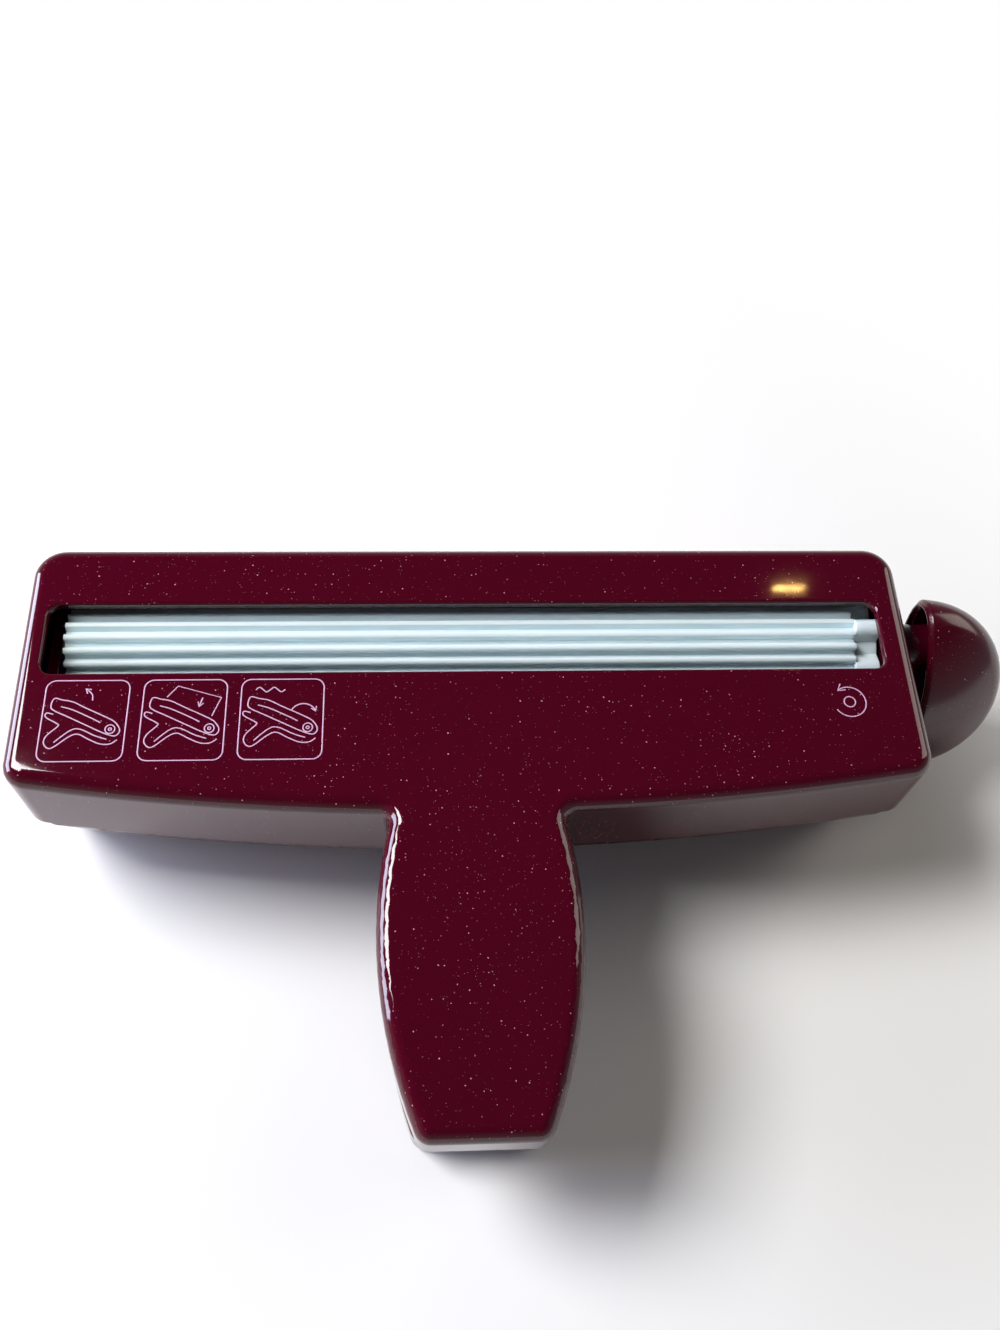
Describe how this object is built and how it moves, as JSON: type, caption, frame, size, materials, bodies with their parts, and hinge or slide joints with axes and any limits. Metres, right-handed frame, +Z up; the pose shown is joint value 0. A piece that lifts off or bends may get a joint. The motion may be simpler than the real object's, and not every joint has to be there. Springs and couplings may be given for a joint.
{
  "type": "paper crimper with crank",
  "caption": "Hand paper crimper: hinged casings with paddle handles hold meshing ridged rollers, turned by a hollow crank lever.",
  "frame": {"origin": "middle of the flat underside that the crimper rests on", "axes": "X along the rollers towards the crank, -Y towards the handles, +Z up"},
  "size_m": [0.2899, 0.174, 0.06],
  "materials": {
    "casing": "polished, with fine glitter",
    "inner": "satin",
    "off_white": "satin",
    "bearing": "smooth",
    "steel": "turned"
  },
  "bodies": {
    "lower_jaw": {"lower_shell": "casing", "lower_deck": "inner", "lower_handle_liner": "inner", "lower_bush_left": "bearing", "lower_bush_right": "bearing", "lower_screws": "steel", "hinge_pin_left": "steel", "hinge_pin_right": "steel"},
    "upper_jaw": {"upper_shell": "casing", "upper_deck": "inner", "upper_handle_liner": "inner", "upper_bush_left": "bearing", "upper_bush_crank": "bearing", "upper_screws": "steel"},
    "lower_drive": {"lower_roller": "off_white", "lower_gear": "off_white", "lower_axle": "steel", "lower_axle_clip": "steel"},
    "upper_drive": {"upper_roller": "off_white", "upper_gear": "off_white", "upper_axle": "steel", "upper_axle_clip": "steel", "crank_knob": "casing", "thrust_washer": "bearing"}
  },
  "joints": [
    {"name": "jaw_hinge", "type": "hinge", "parent": "lower_jaw", "child": "upper_jaw", "pos_m": [0, 0.0411, 0.0295], "axis": [-1, 0, 0], "range_deg": [0, 45]},
    {"name": "upper_roller_spin", "type": "hinge", "parent": "upper_jaw", "child": "upper_drive", "pos_m": [0, 0.0115, 0.0419], "axis": [1, 0, 0], "continuous": true},
    {"name": "lower_roller_spin", "type": "hinge", "parent": "lower_jaw", "child": "lower_drive", "pos_m": [0, 0.0115, 0.0171], "axis": [1, 0, 0], "continuous": true}
  ],
  "couplings": [
    {"joint": "lower_roller_spin", "follows": "upper_roller_spin", "ratio": -1}
  ]
}
